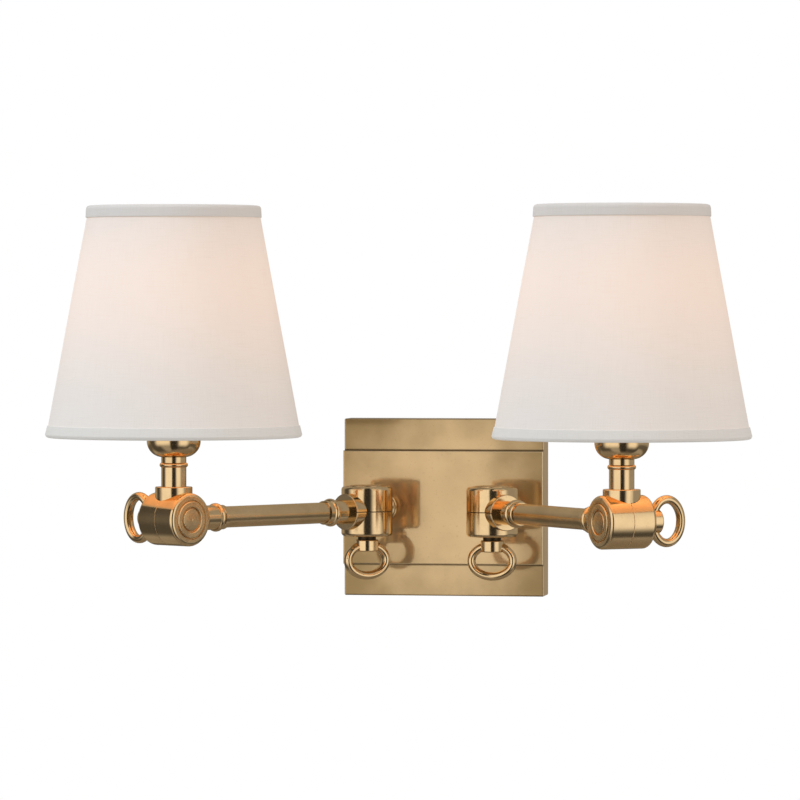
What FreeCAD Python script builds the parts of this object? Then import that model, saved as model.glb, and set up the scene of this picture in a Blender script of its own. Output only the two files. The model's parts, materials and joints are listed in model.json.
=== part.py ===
import FreeCAD, Part
import math
import os
import Sketcher
from FreeCAD import Vector

# Double arm wall sconce, millimetres, +Z up, the viewer on the -Y side.
# The origin is on the wall plane, at the middle of the wall plate. Each arm swings about an
# upright barrel on a short stem, and ends in a level barrel, the knuckle, that tilts its lamp.

DRIVING_SIZES = {
    "plateWidth": 165,
    "plateHeight": 145,
    "panDepth": 28,
    "sheetThickness": 1.5,
    "panelHeight": 92.8,
    "panelThickness": 6.5,
    "bracketWidth": 25,
    "boxScrewSpacing": 88.9,
    "barrelSpacing": 101.6,
    "barrelStandoff": 108,
    "barrelRadius": 20.6,
    "halfLength": 20,
    "bossRadius": 14.5,
    "bossReach": 25.2,
    "runningGap": 0.3,
    "shaftRadius": 3,
    "armLength": 212,
    "armAngle": 54.4,
    "tubeRadius": 8.35,
    "ferruleRadius": 9.6,
    "beadRadius": 11.2,
    "beadPlace": 44.3,
    "keyRingWidth": 40,
    "keyRingHeight": 31.6,
    "keyStubRadius": 9.3,
    "leftKeyTurn": 34,
    "neckRadius": 9.75,
    "cupPlace": 48,
    "cupRadius": 20.9,
    "socketRadius": 17,
    "bulbRadius": 30,
    "shadePlace": 63.3,
    "shadeRise": 179.2,
    "shadeBottomRadius": 98.6,
    "shadeTopRadius": 65.6,
    "clothThickness": 1,
    "hemHeight": 9.3,
    "hemThickness": 0.8,
    "shadeWireRadius": 1.3,
}

doc = FreeCAD.newDocument("WallSconce")
sheet = doc.addObject("Spreadsheet::Sheet", "Sizes")
for row, (alias, number) in enumerate(DRIVING_SIZES.items(), start=1):
    sheet.set(f"A{row}", alias)
    sheet.set(f"B{row}", str(number))
    sheet.setAlias(f"B{row}", alias)
doc.recompute()


class Size:
    """A length or an angle, with the formula on the sheet's cells that gives it."""

    def __init__(self, value, text):
        self.value = value
        self.text = text

    def __add__(self, other):
        other = as_size(other)
        return Size(self.value + other.value, f"({self.text} + {other.text})")

    def __sub__(self, other):
        other = as_size(other)
        return Size(self.value - other.value, f"({self.text} - {other.text})")

    def __mul__(self, other):
        other = as_size(other)
        return Size(self.value * other.value, f"({self.text} * {other.text})")

    def __truediv__(self, other):
        other = as_size(other)
        return Size(self.value / other.value, f"({self.text} / {other.text})")

    def __neg__(self):
        return Size(-self.value, f"(0 - {self.text})")

    def __rsub__(self, other):
        return as_size(other) - self


def as_size(number):
    if isinstance(number, Size):
        return number
    return Size(float(number), f"({float(number)})")


def cell(alias):
    return Size(float(sheet.get(alias)), f"Sizes.{alias}")


def cosine(angle):
    return Size(math.cos(math.radians(angle.value)), f"cos({angle.text})")


def sine(angle):
    return Size(math.sin(math.radians(angle.value)), f"sin({angle.text})")


def arctangent(ratio):
    return Size(math.degrees(math.atan(ratio.value)), f"(atan({ratio.text}) / 1deg)")


# ---- placements, sketches and features, all bound to the sheet

def bind(feature, path, size):
    feature.setExpression(path, as_size(size).text)


def place(piece, x=0, y=0, z=0, yaw=0, pitch=0, roll=0):
    """Turn a piece by roll about X, pitch about Y and yaw about Z, then move it."""
    texts = [as_size(number).text for number in (x, y, z, yaw, pitch, roll)]
    piece.setExpression("Placement", (
        "create(<<placement>>; create(<<vector>>; {}; {}; {}); "
        "create(<<rotation>>; {}; {}; {}))").format(*texts))
    return piece


def new_body(label):
    body = doc.addObject("PartDesign::Body", label)
    body.Label = label
    return body


def new_sketch(body, role, kind, offset):
    sketch = body.newObject("Sketcher::SketchObject", f"{body.Name}_{kind}_outline")
    planes = [feature for feature in body.Origin.OriginFeatures if feature.Role == role]
    sketch.AttachmentSupport = [(planes[0], "")]
    sketch.MapMode = "FlatFace"
    if as_size(offset).value:
        bind(sketch, ".AttachmentOffset.Base.z", offset)
    return sketch


def fix_point(sketch, geometry, position, across, up):
    """Hold a sketch point at its distances across and up from the origin."""
    for size, kind, axis in ((across, "DistanceX", -2), (up, "DistanceY", -1)):
        if size.value == 0:
            sketch.addConstraint(Sketcher.Constraint("PointOnObject", geometry, position, axis))
            continue
        constraint = Sketcher.Constraint(kind, -1, 1, geometry, position, size.value)
        bind(sketch, f"Constraints[{sketch.addConstraint(constraint)}]", size)


def fix_radius(sketch, geometry, radius):
    constraint = Sketcher.Constraint("Radius", geometry, radius.value)
    bind(sketch, f"Constraints[{sketch.addConstraint(constraint)}]", radius)


def arc_middle(start, end, bend):
    """The middle of an arc from start to end that bulges right, or left where bend < 0."""
    chord = end - start
    right = Vector(chord.y, -chord.x, 0).normalize()
    half = chord.Length / 2
    sagitta = abs(bend) - math.sqrt(max(bend * bend - half * half, 0))
    return (start + end) * 0.5 + right * math.copysign(sagitta, bend)


def draw_outline(sketch, points):
    """Draw a closed outline, anticlockwise. A point is (across, up) or (across, up, bend), where
    bend is the radius of the arc that ends there, negative where the arc is hollow."""
    points = [tuple(as_size(number) for number in point) for point in points]
    spots = [Vector(point[0].value, point[1].value, 0) for point in points]
    pieces = []
    for index, spot in enumerate(spots):
        following = (index + 1) % len(points)
        end = spots[following]
        bend = points[following][2] if len(points[following]) == 3 else None
        if bend is None:
            pieces.append((sketch.addGeometry(Part.LineSegment(spot, end)), 1, 2, None))
            continue
        middle = arc_middle(spot, end, bend.value)
        geometry = sketch.addGeometry(Part.Arc(spot, middle, end))
        first, last = (1, 2) if bend.value > 0 else (2, 1)
        pieces.append((geometry, first, last, bend if bend.value > 0 else -bend))
    for index, (geometry, first, last, bend) in enumerate(pieces):
        before = pieces[index - 1]
        sketch.addConstraint(Sketcher.Constraint(
            "Coincident", before[0], before[2], geometry, first))
        fix_point(sketch, geometry, first, points[index][0], points[index][1])
    for geometry, first, last, bend in pieces:
        if bend is not None:
            fix_radius(sketch, geometry, bend)


def draw_circle(sketch, radius, across=0, up=0):
    across = as_size(across)
    up = as_size(up)
    radius = as_size(radius)
    circle = Part.Circle(Vector(across.value, up.value, 0), Vector(0, 0, 1), radius.value)
    geometry = sketch.addGeometry(circle)
    fix_point(sketch, geometry, 3, across, up)
    fix_radius(sketch, geometry, radius)


def rectangle(left, bottom, right, top):
    return [(left, bottom), (right, bottom), (right, top), (left, top)]


def revolve(body, points, kind="Revolution"):
    """Turn an outline of (radius, height) points about the body's Z axis."""
    sketch = new_sketch(body, "XZ_Plane", kind, 0)
    draw_outline(sketch, points)
    feature = body.newObject(f"PartDesign::{kind}", f"{body.Name}_{kind}")
    feature.Profile = sketch
    feature.ReferenceAxis = (sketch, ["V_Axis"])
    feature.Angle = 360
    doc.recompute()


def extrude(body, role, draw, length, kind="Pad", midplane=False, backwards=False, offset=0):
    """Pad or pocket what draw puts on one of the body's planes."""
    sketch = new_sketch(body, role, kind, offset)
    draw(sketch)
    feature = body.newObject(f"PartDesign::{kind}", f"{body.Name}_{kind}")
    feature.Profile = sketch
    bind(feature, "Length", length)
    feature.Midplane = midplane
    feature.Reversed = backwards
    doc.recompute()


def pocket(body, role, draw, length, **options):
    """A pocket that stops the script if it removes nothing."""
    before = body.Shape.Volume
    extrude(body, role, draw, length, kind="Pocket", **options)
    if body.Shape.Volume > before - 0.01:
        raise RuntimeError(f"a pocket in {body.Label} removes nothing")


def hole(body, role, radius, length, across=0, up=0, **options):
    pocket(body, role, lambda sketch: draw_circle(sketch, radius, across, up), length, **options)


def round_edges(body, radius, wanted):
    """Round the edges of the body that wanted(box of the edge) picks."""
    names = [f"Edge{number}" for number, edge in enumerate(body.Shape.Edges, start=1)
             if wanted(edge.BoundBox)]
    base = body.Tip
    feature = body.newObject("PartDesign::Fillet", f"{body.Name}_rounding")
    feature.Base = (base, names)
    bind(feature, "Radius", radius)
    doc.recompute()


def turned(label, points):
    """A piece from the lathe: one outline of (radius, height) about its axis."""
    body = new_body(label)
    revolve(body, points)
    return body


def block(label, width, height, depth):
    """A plate on the XZ plane, its middle at the origin, that grows towards the viewer."""
    body = new_body(label)
    extrude(body, "XZ_Plane", lambda sketch: draw_outline(
        sketch, rectangle(-width / 2, -height / 2, width / 2, height / 2)), depth)
    return body


def bead(radius, middle, length, crest):
    """The two outline points of a round bead on a cylinder, going up."""
    half = as_size(length) / 2
    rise = as_size(crest) - radius
    bend = (half * half + rise * rise) / (rise * 2)
    return [(radius, middle - half), (radius, middle + half, bend)]


def group(label, pieces):
    """Several separate solids in one node."""
    compound = doc.addObject("Part::Compound", label)
    compound.Label = label
    compound.Links = pieces
    return compound


def fused(label, pieces):
    fusion = doc.addObject("Part::MultiFuse", label)
    fusion.Label = label
    fusion.Shapes = pieces
    return fusion


def cylinder(name, radius, length):
    piece = doc.addObject("Part::Cylinder", name)
    bind(piece, "Radius", radius)
    bind(piece, "Height", length)
    return piece


def torus(name, ringRadius, wireRadius):
    piece = doc.addObject("Part::Torus", name)
    bind(piece, "Radius1", ringRadius)
    bind(piece, "Radius2", wireRadius)
    return piece


# ---- sizes that several pieces share

plateWidth = cell("plateWidth")
plateHeight = cell("plateHeight")
panDepth = cell("panDepth")
sheetThickness = cell("sheetThickness")
panelThickness = cell("panelThickness")
barrelOffset = cell("barrelSpacing") / 2
barrelStandoff = cell("barrelStandoff")
barrelRadius = cell("barrelRadius")
halfLength = cell("halfLength")
bossRadius = cell("bossRadius")
bossReach = cell("bossReach")
runningGap = cell("runningGap")
shaftRadius = cell("shaftRadius")
armLength = cell("armLength")
armAngle = cell("armAngle")
tubeRadius = cell("tubeRadius")
ferruleRadius = cell("ferruleRadius")
beadRadius = cell("beadRadius")
beadPlace = cell("beadPlace")

fitGap = as_size(0.05)               # between two pieces of one body
shaftGap = as_size(0.1)              # around the clamping screw
spigotRadius = as_size(5)
spigotStart = barrelRadius + runningGap + 0.3
wireBore = as_size(3.4)
discRadius = as_size(17.5)
discThickness = as_size(1.5)
capRadius = as_size(17.2)
capSeat = halfLength - 2
cavityDepth = as_size(15)
screwReach = as_size(12)             # how far the clamping screw enters the far half
keyNeckEnd = halfLength + 3
keyScrewEnd = keyNeckEnd + 0.4       # the clamping screw ends inside its key, below the ring
nippleRadius = as_size(4.8)
nippleHoleRadius = nippleRadius + 0.2
stemLength = barrelStandoff - panDepth - panelThickness
grubPlace = as_size(10)              # of the pan's grub screws, from the wall
screwRadius = as_size(2)


def barrel_place(piece, side, yaw=0, roll=0):
    """Put a piece on the upright barrel of one side."""
    return place(piece, x=barrelOffset * side, y=-barrelStandoff, yaw=yaw, roll=roll)


def stem_place(piece, side):
    """Lay a piece made along Z on the line from a barrel to the wall."""
    return place(piece, x=barrelOffset * side, y=-barrelStandoff, yaw=90, pitch=90)


def arm_heading(side):
    """The direction of an arm, as an angle from +X."""
    return -armAngle if side > 0 else armAngle + 180


def arm_place(piece, side):
    """Lay a piece made along Z on an arm, from its barrel outwards."""
    return place(piece, x=barrelOffset * side, y=-barrelStandoff, yaw=arm_heading(side), pitch=90)


def knuckle_place(piece, side, z=0, yaw=0, pitch=0, roll=0):
    """Put a piece on the knuckle of one side."""
    return place(piece,
                 x=(barrelOffset + armLength * cosine(armAngle)) * side,
                 y=-(barrelStandoff + armLength * sine(armAngle)),
                 z=z, yaw=yaw, pitch=pitch, roll=roll)


# ---- the wall plate

def make_back_pan():
    """A pressed pan, open towards the wall, with the stem holes and the grub screw holes."""
    body = block("back_pan", plateWidth, plateHeight, panDepth)
    front = -panDepth.value
    cornerRadius = as_size(1.2)
    rimRadius = as_size(1.2)
    round_edges(body, cornerRadius, lambda box: box.YLength > 1)
    round_edges(body, rimRadius, lambda box: box.YMax < front + 0.01)
    innerWidth = plateWidth / 2 - sheetThickness
    innerHeight = plateHeight / 2 - sheetThickness
    inside = rectangle(-innerWidth, -innerHeight, innerWidth, innerHeight)
    pocket(body, "XZ_Plane", lambda sketch: draw_outline(sketch, inside),
           panDepth - sheetThickness, backwards=True)
    for side in (-1, 1):
        hole(body, "XZ_Plane", nippleHoleRadius, panDepth + 1, barrelOffset * side,
             backwards=True)
    hole(body, "XY_Plane", screwRadius + fitGap, plateHeight + 2, 0, -grubPlace, midplane=True)


def make_centre_panel():
    """The raised brass plate across the middle of the pan."""
    body = block("centre_panel", plateWidth, cell("panelHeight"), panelThickness)
    front = -panelThickness.value
    rimRadius = as_size(0.9)
    round_edges(body, rimRadius, lambda box: box.YMax < front + 0.01)
    for side in (-1, 1):
        hole(body, "XZ_Plane", nippleHoleRadius, panelThickness + 1, barrelOffset * side,
             backwards=True)
    place(body, y=-panDepth)


earthScrewHeight = as_size(20)


def make_mounting_bracket():
    """A steel strap on the junction box, with a bent tab at the top and at the bottom."""
    body = new_body("mounting_bracket")
    strap = as_size(2)
    tab = as_size(15)
    end = plateHeight / 2 - sheetThickness - 0.2
    inside = end - strap
    outline = [(-tab, -end), (0, -end), (0, end), (-tab, end),
               (-tab, inside), (-strap, inside), (-strap, -inside), (-tab, -inside)]
    extrude(body, "YZ_Plane", lambda sketch: draw_outline(sketch, outline),
            cell("bracketWidth"), midplane=True)
    boxScrewRadius = as_size(2.4)
    wireHoleRadius = as_size(9)
    for side in (-1, 1):
        hole(body, "XZ_Plane", boxScrewRadius, strap + 1, 0, cell("boxScrewSpacing") / 2 * side,
             backwards=True)
    hole(body, "XZ_Plane", wireHoleRadius, strap + 1, backwards=True)
    hole(body, "XZ_Plane", screwRadius, strap + 1, 0, earthScrewHeight, backwards=True)
    hole(body, "XY_Plane", screwRadius + fitGap, plateHeight, 0, -grubPlace, midplane=True)


def make_earth_screw():
    """The slotted earth screw in the bracket, its head towards the room."""
    headHeight = as_size(4.6)
    body = turned("earth_screw", [
        (0, 0), (screwRadius - fitGap, 0), (screwRadius - fitGap, 2), (4, 2), (4, 3.2),
        (2.6, headHeight, 1.4), (0, headHeight)])
    slot = rectangle(-0.5, headHeight - 1.2, 0.5, headHeight + 1)
    pocket(body, "XZ_Plane", lambda sketch: draw_outline(sketch, slot), 20, midplane=True)
    place(body, z=earthScrewHeight, roll=90)


def make_grub_screws():
    """Two headless screws that hold the pan to the bracket's tabs, above and below."""
    screws = []
    length = as_size(6)
    for side in (-1, 1):
        screw = new_body(f"grub_screw_{'low' if side < 0 else 'high'}")
        extrude(screw, "XY_Plane", lambda sketch: draw_circle(sketch, screwRadius), length)
        slot = rectangle(-0.4, length - 1.2, 0.4, length + 1)
        pocket(screw, "XZ_Plane", lambda sketch: draw_outline(sketch, slot), 20, midplane=True)
        screws.append(place(screw, y=-grubPlace, z=(plateHeight / 2 - length) * side,
                            roll=0 if side > 0 else 180))
    group("pan_grub_screws", screws)


# ---- the stems between the plate and the barrels

def make_stem(side):
    """A turned stem with one bead, and a round foot on the panel."""
    bore = nippleRadius + shaftGap
    footRadius = as_size(13.4)
    return stem_place(turned(f"stem_{side + 1}", [
        (bore, bossReach), (ferruleRadius, bossReach),
        *bead(ferruleRadius, beadPlace, 4.8, beadRadius),
        (ferruleRadius, stemLength - 6), (footRadius - 1.6, stemLength - 4, -3),
        (footRadius, stemLength - 2.4, 1.6), (footRadius, stemLength), (bore, stemLength)]), side)


def make_stem_fasteners():
    """The hollow nipples through the stems, with a washer and a nut inside the pan."""
    panInside = stemLength + panelThickness + sheetThickness
    washerThickness = as_size(1)
    nutThickness = as_size(4)
    nippleEnd = panInside + 9
    nipples = []
    washers = []
    nuts = []
    for side in (-1, 1):
        nipples.append(stem_place(turned(f"nipple_{side + 1}", rectangle(
            wireBore, spigotStart, nippleRadius, nippleEnd)), side))
        washers.append(stem_place(turned(f"washer_{side + 1}", rectangle(
            nippleRadius + fitGap, panInside, 9, panInside + washerThickness)), side))
        prism = doc.addObject("Part::Prism", f"nut_blank_{side + 1}")
        prism.Polygon = 6
        bind(prism, "Circumradius", 8)
        bind(prism, "Height", nutThickness)
        nut = doc.addObject("Part::Cut", f"nut_{side + 1}")
        nut.Base = prism
        nut.Tool = cylinder(f"nut_thread_{side + 1}", nippleRadius + fitGap, nutThickness)
        nuts.append(place(nut, x=barrelOffset * side,
                          y=-barrelStandoff + panInside + washerThickness, yaw=90, pitch=90))
    group("stem_nipples", nipples)
    group("stem_washers", washers)
    group("stem_lock_nuts", nuts)


# ---- the barrels and knuckles: two halves on one clamping screw, with a friction disc between

def half_outline(capped):
    """One half from the seam at 0 to its end, hollow around a hub for the clamping screw."""
    bore = shaftRadius + shaftGap
    recess = discThickness / 2 + fitGap
    recessRadius = discRadius + 0.2
    hub = as_size(6)
    cavity = as_size(16)
    bevel = as_size(0.4)
    rounding = as_size(2.8)
    outline = [
        (hub, recess), (hub, cavityDepth), (cavity, cavityDepth), (cavity, recess),
        (recessRadius, recess), (recessRadius, 0), (barrelRadius - bevel, 0),
        (barrelRadius, bevel), (barrelRadius, halfLength - rounding),
        (barrelRadius - rounding, halfLength, rounding)]
    if capped:
        seat = capRadius + fitGap
        return outline + [(seat, halfLength), (seat, capSeat), (0, capSeat),
                          (0, screwReach + 1.5), (bore, screwReach + 1.5), (bore, recess)]
    return outline + [(bore, halfLength), (bore, recess)]


def make_half(label, capped):
    """A half barrel with a round boss along +X, centred on the seam. Beyond the seam the boss
    is a saddle that clears the other half."""
    body = new_body(label)
    shell = as_size(1.5)
    rimRadius = as_size(0.8)
    bossFace = bossReach.value - 0.01
    extrude(body, "YZ_Plane", lambda sketch: draw_circle(sketch, bossRadius), bossReach)
    round_edges(body, rimRadius, lambda box: box.XMin > bossFace)
    revolve(body, rectangle(0, -(bossRadius + 1), barrelRadius + runningGap, 0), "Groove")
    revolve(body, rectangle(0, 0, barrelRadius - shell, bossRadius + 1), "Groove")
    revolve(body, half_outline(capped))
    hole(body, "YZ_Plane", spigotRadius + fitGap, bossReach, offset=discRadius - 2,
         backwards=True)
    return body


def make_cap(label):
    """The turned cap: a flat rim, a groove, a raised ring and a low button."""
    rim = halfLength
    ring = halfLength + 0.8
    groove = halfLength - 0.8
    button = as_size(8.5)
    face = button - 0.6
    edge = rim + 0.5
    dome = as_size(0.4)
    domeRadius = (face * face + dome * dome) / (dome * 2)     # its centre is on the axis
    return turned(label, [
        (0, capSeat), (capRadius, capSeat), (capRadius, rim), (15.5, rim), (15.1, groove),
        (14.6, groove), (14.3, rim), (13.5, ring, 1), (10.4, ring), (9.6, rim, 1),
        (9.3, groove), (button + 0.3, groove), (button, rim), (face, edge, 0.7),
        (0, edge + dome, domeRadius)])


def make_disc(label):
    """A fibre friction disc on the seam."""
    return turned(label, rectangle(
        shaftRadius + shaftGap + 0.2, -discThickness / 2, discRadius, discThickness / 2))


def make_key(label):
    """The clamping key: a round stub on a narrower neck, and the oval ring that turns it."""
    foot = halfLength + shaftGap
    stubEnd = halfLength + 12.3
    stubRadius = cell("keyStubRadius")
    neckRadius = as_size(7.25)
    bore = shaftRadius + fitGap
    rounding = as_size(1)
    stub = turned(f"{label}_stub", [
        (bore, foot), (neckRadius, foot), (neckRadius, keyNeckEnd),
        (stubRadius - rounding, keyNeckEnd), (stubRadius, keyNeckEnd + rounding, rounding),
        (stubRadius, stubEnd - rounding), (stubRadius - rounding, stubEnd, rounding),
        (0, stubEnd), (0, keyScrewEnd), (bore, keyScrewEnd)])
    thickness = as_size(6.6)
    bandDepth = as_size(8.4)
    ringMiddle = keyNeckEnd + 0.6 + cell("keyRingHeight") / 2
    path = doc.addObject("Part::Ellipse", f"{label}_ring_path")
    bind(path, "MajorRadius", (cell("keyRingWidth") - thickness) / 2)
    bind(path, "MinorRadius", (cell("keyRingHeight") - thickness) / 2)
    section = doc.addObject("Part::Ellipse", f"{label}_ring_section")
    bind(section, "MajorRadius", bandDepth / 2)
    bind(section, "MinorRadius", thickness / 2)
    place(section, x=(cell("keyRingWidth") - thickness) / 2, pitch=-90, roll=90)
    ring = doc.addObject("Part::Sweep", f"{label}_ring")
    ring.Sections = [section]
    ring.Spine = (path, ["Edge1"])
    ring.Solid = True
    ring.Frenet = True
    place(ring, z=ringMiddle, roll=90)
    return fused(label, [stub, ring])


def make_key_screw(label):
    """The screw of a clamping key, through one half and into the hub of the other."""
    tip = as_size(0.5)
    return turned(label, [
        (0, -screwReach), (shaftRadius - tip, -screwReach), (shaftRadius, tip - screwReach),
        (shaftRadius, keyScrewEnd), (0, keyScrewEnd)])


def make_wall_barrel(name, side):
    """The fixed lower half with the stem's boss, and the ring key below."""
    barrel_place(make_half(f"{name}_wall_barrel", capped=False), side, yaw=90, roll=180)
    turn = cell("leftKeyTurn") if side < 0 else as_size(0)
    barrel_place(make_key(f"{name}_wall_key"), side, yaw=turn, roll=180)
    barrel_place(make_key_screw(f"{name}_wall_key_screw"), side, yaw=turn, roll=180)


# ---- the arms

def make_ferrule(label, tubeSeat):
    """The turned end of an arm: a spigot, a bead, and a collar over the tube's end."""
    collarStart = tubeSeat + 3.4
    collarEnd = tubeSeat + 7.8
    socket = tubeRadius + fitGap
    return turned(label, [
        (wireBore, tubeSeat), (wireBore, spigotStart), (spigotRadius, spigotStart),
        (spigotRadius, bossReach), (ferruleRadius, bossReach),
        *bead(ferruleRadius, tubeSeat, 4.8, beadRadius),
        (ferruleRadius - 0.6, collarStart - 0.6), (ferruleRadius, collarStart),
        (ferruleRadius, collarEnd - 0.6), (ferruleRadius - 0.6, collarEnd),
        (socket, collarEnd), (socket, tubeSeat)])


def make_arm(name, side):
    """The upper half barrel with its cap, two ferrules, the tube, and the knuckle's rear half."""
    heading = arm_heading(side)
    barrel_place(make_half(f"{name}_arm_barrel", capped=True), side, yaw=heading)
    barrel_place(make_cap(f"{name}_arm_barrel_cap"), side)
    innerSeat = beadPlace - 2.6
    arm_place(make_ferrule(f"{name}_inner_ferrule", innerSeat), side)
    arm_place(turned(f"{name}_arm_tube", rectangle(
        tubeRadius - 1.2, innerSeat, tubeRadius, armLength - beadPlace)), side)
    knuckle_place(make_ferrule(f"{name}_outer_ferrule", beadPlace), side,
                  yaw=heading + 180, pitch=90)
    outward = {"yaw": 180 - armAngle, "roll": 90} if side > 0 else {"yaw": armAngle, "roll": -90}
    knuckle_place(make_half(f"{name}_knuckle_rear", capped=False), side, **outward)
    knuckle_place(make_disc(f"{name}_knuckle_disc"), side, **outward)
    keyYaw = 270 - armAngle if side > 0 else armAngle - 90
    knuckle_place(make_key(f"{name}_knuckle_key"), side, yaw=keyYaw, pitch=-90)
    knuckle_place(make_key_screw(f"{name}_knuckle_key_screw"), side, yaw=keyYaw, pitch=-90)


# ---- the lamps

def make_lamp_holder(name, side):
    """The knuckle's front half, its cap, the beaded neck, the cup and the socket."""
    facing = 90 - armAngle if side > 0 else armAngle + 90
    knuckle_place(make_half(f"{name}_knuckle_front", capped=True), side, yaw=facing, pitch=-90)
    knuckle_place(make_cap(f"{name}_knuckle_cap"), side, yaw=facing, pitch=-90)
    neckRadius = cell("neckRadius")
    cupPlace = cell("cupPlace")
    cupRadius = cell("cupRadius")
    cupWall = as_size(1.4)
    tipEnd = cupPlace + 8
    knuckle_place(turned(f"{name}_lamp_neck", [
        (wireBore, spigotStart), (spigotRadius, spigotStart), (spigotRadius, bossReach),
        (neckRadius, bossReach), *bead(neckRadius, cupPlace - 6, 3.6, beadRadius - 0.2),
        (neckRadius, cupPlace), (spigotRadius, cupPlace), (spigotRadius, tipEnd),
        (wireBore, tipEnd)]), side)
    bowl = as_size(12.5)
    floorRadius = cupRadius - bowl
    cupTop = cupPlace + 19.5
    thread = spigotRadius + fitGap
    knuckle_place(turned(f"{name}_socket_cup", [
        (thread, cupPlace), (floorRadius, cupPlace), (cupRadius, cupPlace + bowl, bowl),
        (cupRadius, cupTop - 0.7), (cupRadius - 0.7, cupTop, 0.7), (cupRadius - cupWall, cupTop),
        (cupRadius - cupWall, cupPlace + bowl),
        (floorRadius, cupPlace + cupWall, cupWall - bowl), (thread, cupPlace + cupWall)]), side)
    socketFoot = cupPlace + cupWall
    socketRadius = cell("socketRadius")
    socketTop = socketFoot + 48.6
    shellRadius = as_size(13.5)
    shellFloor = socketFoot + 20
    knuckle_place(turned(f"{name}_socket", [
        (thread, socketFoot), (floorRadius, socketFoot), (socketRadius, socketFoot + 5.2),
        (socketRadius, socketTop - 1), (socketRadius - 1, socketTop, 1),
        (shellRadius, socketTop), (shellRadius, shellFloor), (thread, shellFloor)]), side)
    make_bulb(name, side, shellFloor, shellRadius - 0.3)


def make_bulb(name, side, foot, baseRadius):
    """A round lamp on a screw base: the glass is a thin shell, open into the base."""
    baseTop = foot + 27
    knuckle_place(turned(f"{name}_bulb_base", [
        (0, foot), (4.5, foot), (5.5, foot + 1.5), (baseRadius - 1, foot + 4),
        (baseRadius, foot + 6), (baseRadius, baseTop), (0, baseTop)]), side)
    bulbRadius = cell("bulbRadius")
    glass = as_size(0.9)
    throat = baseRadius - 0.1
    middle = baseTop + 53
    slope = as_size(31)
    flankRadius = bulbRadius * cosine(slope)
    flankHeight = middle - bulbRadius * sine(slope)
    inner = bulbRadius - glass
    knuckle_place(turned(f"{name}_bulb_glass", [
        (throat - glass, baseTop), (throat, baseTop), (throat, baseTop + 6),
        (flankRadius, flankHeight, -70), (0, middle + bulbRadius, bulbRadius),
        (0, middle + inner), (inner * cosine(slope), middle - inner * sine(slope), -inner),
        (throat - glass, baseTop + 6, 70)]), side)


def make_shade(name, side):
    """The tapered drum of stiffened cloth with a folded hem and a wire ring at each end."""
    low = cell("shadePlace")
    rise = cell("shadeRise")
    high = low + rise
    lowRadius = cell("shadeBottomRadius")
    highRadius = cell("shadeTopRadius")
    cloth = cell("clothThickness")
    hemHeight = cell("hemHeight")
    hem = cell("hemThickness")
    wire = cell("shadeWireRadius")
    lip = as_size(0.6)               # of the hem, folded over the cloth's edge
    corner = as_size(0.5)
    taper = (lowRadius - highRadius) / (rise - lip * 2)
    drawIn = taper * (hemHeight - lip)
    knuckle_place(turned(f"{name}_shade", [
        (lowRadius - cloth, low + lip), (lowRadius, low + lip),
        (highRadius, high - lip), (highRadius - cloth, high - lip)]), side)

    lowWireRadius = lowRadius - cloth - wire - fitGap - taper * (lip + wire * 2)
    lowLip = lowWireRadius - wire
    lowFace = lowRadius + fitGap
    lowHem = lowRadius + hem
    knuckle_place(turned(f"{name}_shade_bottom_hem", [
        (lowLip, low), (lowHem - corner, low), (lowHem, low + corner, corner),
        (lowHem - drawIn, low + hemHeight), (lowFace - drawIn, low + hemHeight),
        (lowFace, low + lip), (lowLip, low + lip)]), side)

    highWireRadius = highRadius - cloth - wire - fitGap
    highLip = highWireRadius - wire
    highFace = highRadius + fitGap
    highHem = highRadius + hem
    knuckle_place(turned(f"{name}_shade_top_hem", [
        (highLip, high - lip), (highFace, high - lip), (highFace + drawIn, high - hemHeight),
        (highHem + drawIn, high - hemHeight), (highHem, high - corner),
        (highHem - corner, high, corner), (highLip, high)]), side)
    knuckle_place(torus(f"{name}_shade_top_wire", highWireRadius, wire), side,
                  z=high - lip - wire)
    make_fitter(name, side, lowWireRadius, low + lip + wire)


def make_fitter(name, side, wireRing, wireHeight):
    """The shade's bottom wire with three spokes to a hub, and the nut that clamps the hub."""
    wire = cell("shadeWireRadius")
    socketRadius = cell("socketRadius")
    hubRise = as_size(4.3)           # above the shade's foot
    hubWidth = as_size(4.5)
    hubThickness = as_size(3)
    nutHeight = as_size(5)
    spokeRadius = wire - 0.25        # thinner than the ring, so that it ends inside it
    hubFoot = cell("shadePlace") + hubRise
    hubRadius = socketRadius + hubWidth
    hub = turned(f"{name}_fitter_hub", rectangle(
        socketRadius + 0.2, hubFoot, hubRadius, hubFoot + hubThickness))
    lowWire = place(torus(f"{name}_low_wire", wireRing, wire), z=wireHeight)
    start = hubRadius - 0.4          # each spoke starts inside the hub
    startHeight = hubFoot + hubThickness / 2
    run = wireRing - start
    slope = arctangent((startHeight - wireHeight) / run)
    spokes = []
    for turn in (0, 120, 240):
        heading = as_size(turn)
        spokes.append(place(
            cylinder(f"{name}_spoke_{turn}", spokeRadius, run / cosine(slope)),
            x=start * cosine(heading), y=start * sine(heading), z=startHeight,
            yaw=heading, pitch=slope + 90))
    knuckle_place(fused(f"{name}_shade_fitter", [hub, lowWire, *spokes]), side,
                  yaw=arm_heading(side))
    nutFoot = hubFoot + hubThickness
    knuckle_place(turned(f"{name}_shade_nut", rectangle(
        socketRadius + fitGap, nutFoot, hubRadius - 1, nutFoot + nutHeight)), side)


make_back_pan()
make_centre_panel()
make_mounting_bracket()
make_earth_screw()
make_grub_screws()
make_stem_fasteners()
stems = []
wallDiscs = []
for name, side in (("left", -1), ("right", 1)):
    stems.append(make_stem(side))
    make_wall_barrel(name, side)
    wallDiscs.append(barrel_place(make_disc(f"{name}_wall_disc"), side))
    make_arm(name, side)
    make_lamp_holder(name, side)
    make_shade(name, side)
group("stems", stems)
group("wall_barrel_discs", wallDiscs)
doc.recompute()

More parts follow.
